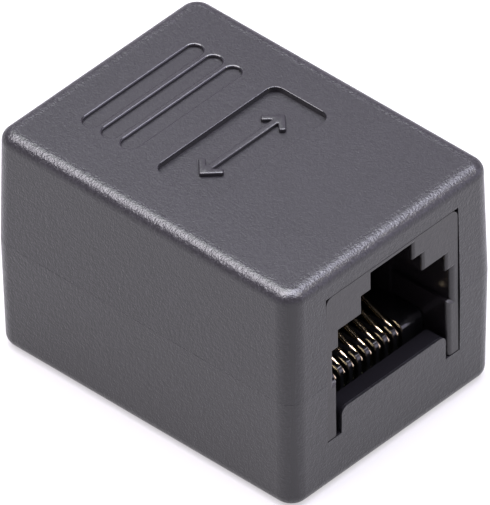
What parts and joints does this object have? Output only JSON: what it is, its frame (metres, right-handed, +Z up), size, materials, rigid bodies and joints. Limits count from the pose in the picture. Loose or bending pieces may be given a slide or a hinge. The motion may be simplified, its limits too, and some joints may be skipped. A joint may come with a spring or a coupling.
{
  "type": "rj45 inline coupler",
  "caption": "Small two-part plastic box with a modular jack in each end, joining two network cables in line.",
  "frame": {"origin": "bottom centre of the closed shell", "axes": "X across the width, Y along the length from the front port (-Y) to the rear port (+Y), Z up; the latch slots are at the top of each port and the contacts at the bottom"},
  "size_m": [0.0234, 0.0314, 0.0212],
  "materials": {
    "shell_plastic": "fine satin grain",
    "jack_plastic": "fine satin",
    "carrier_plastic": "smooth black",
    "contact_gold": "gold plated",
    "board_laminate": "solder mask",
    "solder": "bright tin"
  },
  "bodies": {
    "root": {"upper_shell": "shell_plastic", "lower_shell": "shell_plastic", "jack_housing_front": "jack_plastic", "jack_housing_rear": "jack_plastic", "contact_carrier_front": "carrier_plastic", "contact_carrier_rear": "carrier_plastic", "circuit_board": "board_laminate", "solder_joints_front": "solder", "solder_joints_rear": "solder", "contact_front_1": "contact_gold", "contact_front_2": "contact_gold", "contact_front_3": "contact_gold", "contact_front_4": "contact_gold", "contact_front_5": "contact_gold", "contact_front_6": "contact_gold", "contact_front_7": "contact_gold", "contact_front_8": "contact_gold", "contact_rear_1": "contact_gold", "contact_rear_2": "contact_gold", "contact_rear_3": "contact_gold", "contact_rear_4": "contact_gold", "contact_rear_5": "contact_gold", "contact_rear_6": "contact_gold", "contact_rear_7": "contact_gold", "contact_rear_8": "contact_gold"}
  },
  "joints": []
}
